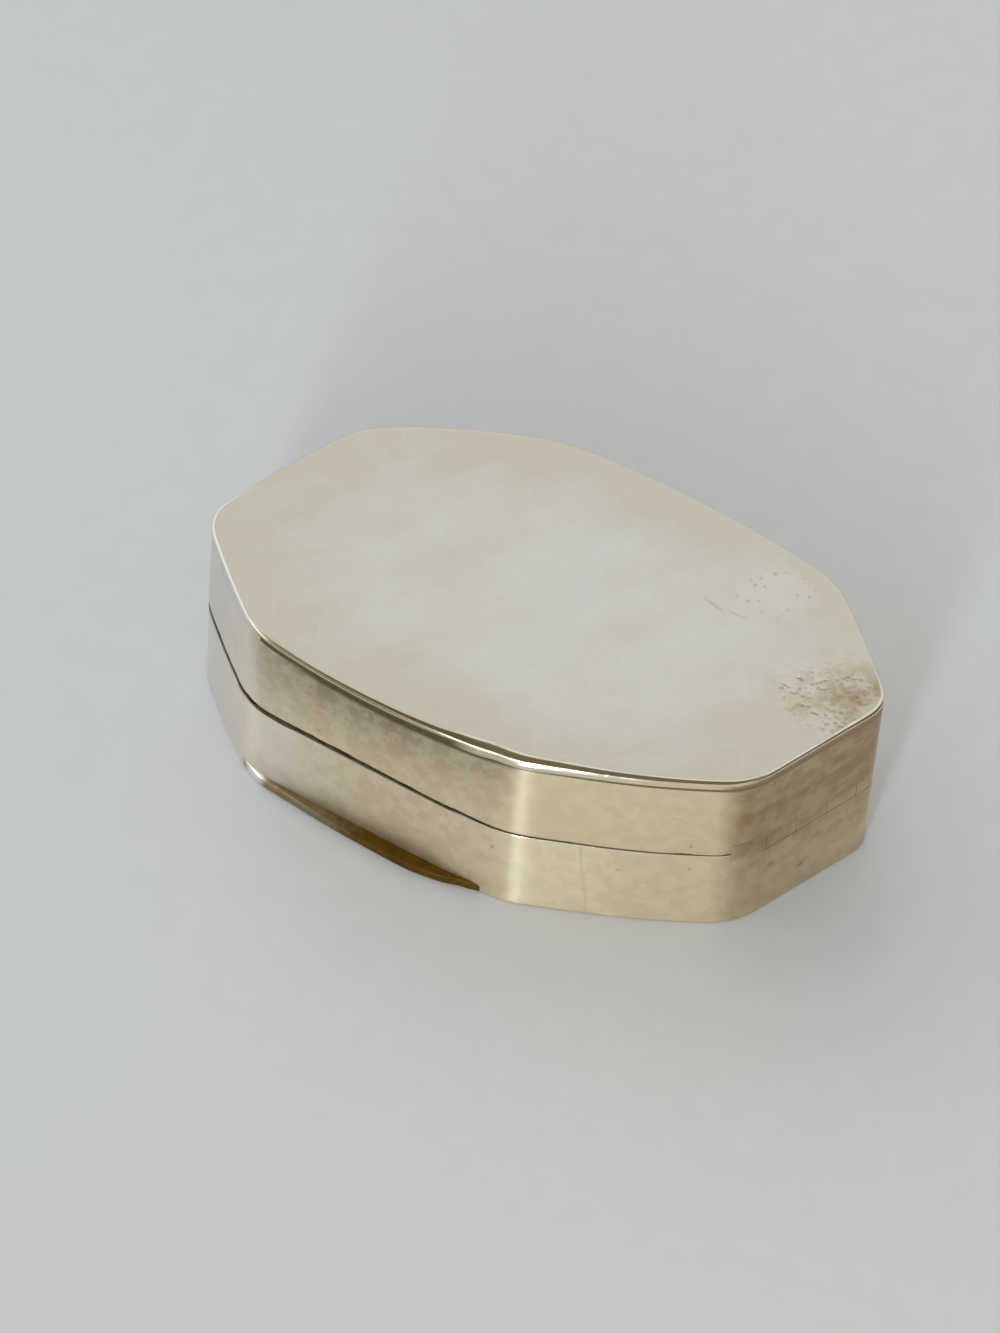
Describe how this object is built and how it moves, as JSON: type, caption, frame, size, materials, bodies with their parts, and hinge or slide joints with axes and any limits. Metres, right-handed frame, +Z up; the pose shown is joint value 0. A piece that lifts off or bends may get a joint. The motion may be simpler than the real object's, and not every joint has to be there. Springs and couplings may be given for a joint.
{
  "type": "vinaigrette box",
  "caption": "Small eight-sided silver scent box with a flush-hinged lid over a pierced, hinged gilt grille that holds a sponge.",
  "frame": {"origin": "middle of the footprint, on the underside", "axes": "+X along the length towards the hinged end, +Z up through the lid, so -Y faces the viewer of the pictured side"},
  "size_m": [0.0314, 0.018, 0.0106],
  "materials": {
    "silver": "worn polished silver with fine scratches and a light warm tarnish",
    "gilt": "satin mercury gilding on silver",
    "pin_silver": "plain drawn wire",
    "sponge": "dry natural sponge"
  },
  "bodies": {
    "base": {"base_plate": "silver", "base_band": "silver", "base_collar": "gilt", "grille_seat": "gilt", "base_hinge_bearer": "silver", "base_knuckle_1": "silver", "base_knuckle_2": "silver", "base_knuckle_3": "silver", "lid_hinge_pin": "pin_silver", "grille_bracket_1": "gilt", "grille_bracket_2": "gilt", "grille_hinge_pin": "pin_silver", "sponge": "sponge"},
    "lid": {"lid_plate": "silver", "lid_band": "silver", "lid_hinge_bearer": "silver", "lid_knuckle_1": "silver", "lid_knuckle_2": "silver"},
    "grille": {"grille_plate": "gilt", "grille_frame": "gilt", "grille_knuckle": "gilt", "grille_lift_tab": "gilt"}
  },
  "joints": [
    {"name": "lid_hinge", "type": "hinge", "parent": "base", "child": "lid", "pos_m": [0.01347, -0.00294, 0.00498], "axis": [0.5485, 0.8362, 0], "range_deg": [0, 100]},
    {"name": "grille_hinge", "type": "hinge", "parent": "base", "child": "grille", "pos_m": [0.01226, -0.00215, 0.00439], "axis": [0.5485, 0.8362, 0], "range_deg": [0, 80]}
  ],
  "couplings": [
    {"joint": "grille_hinge", "follows": "lid_hinge", "ratio": 0.8}
  ]
}
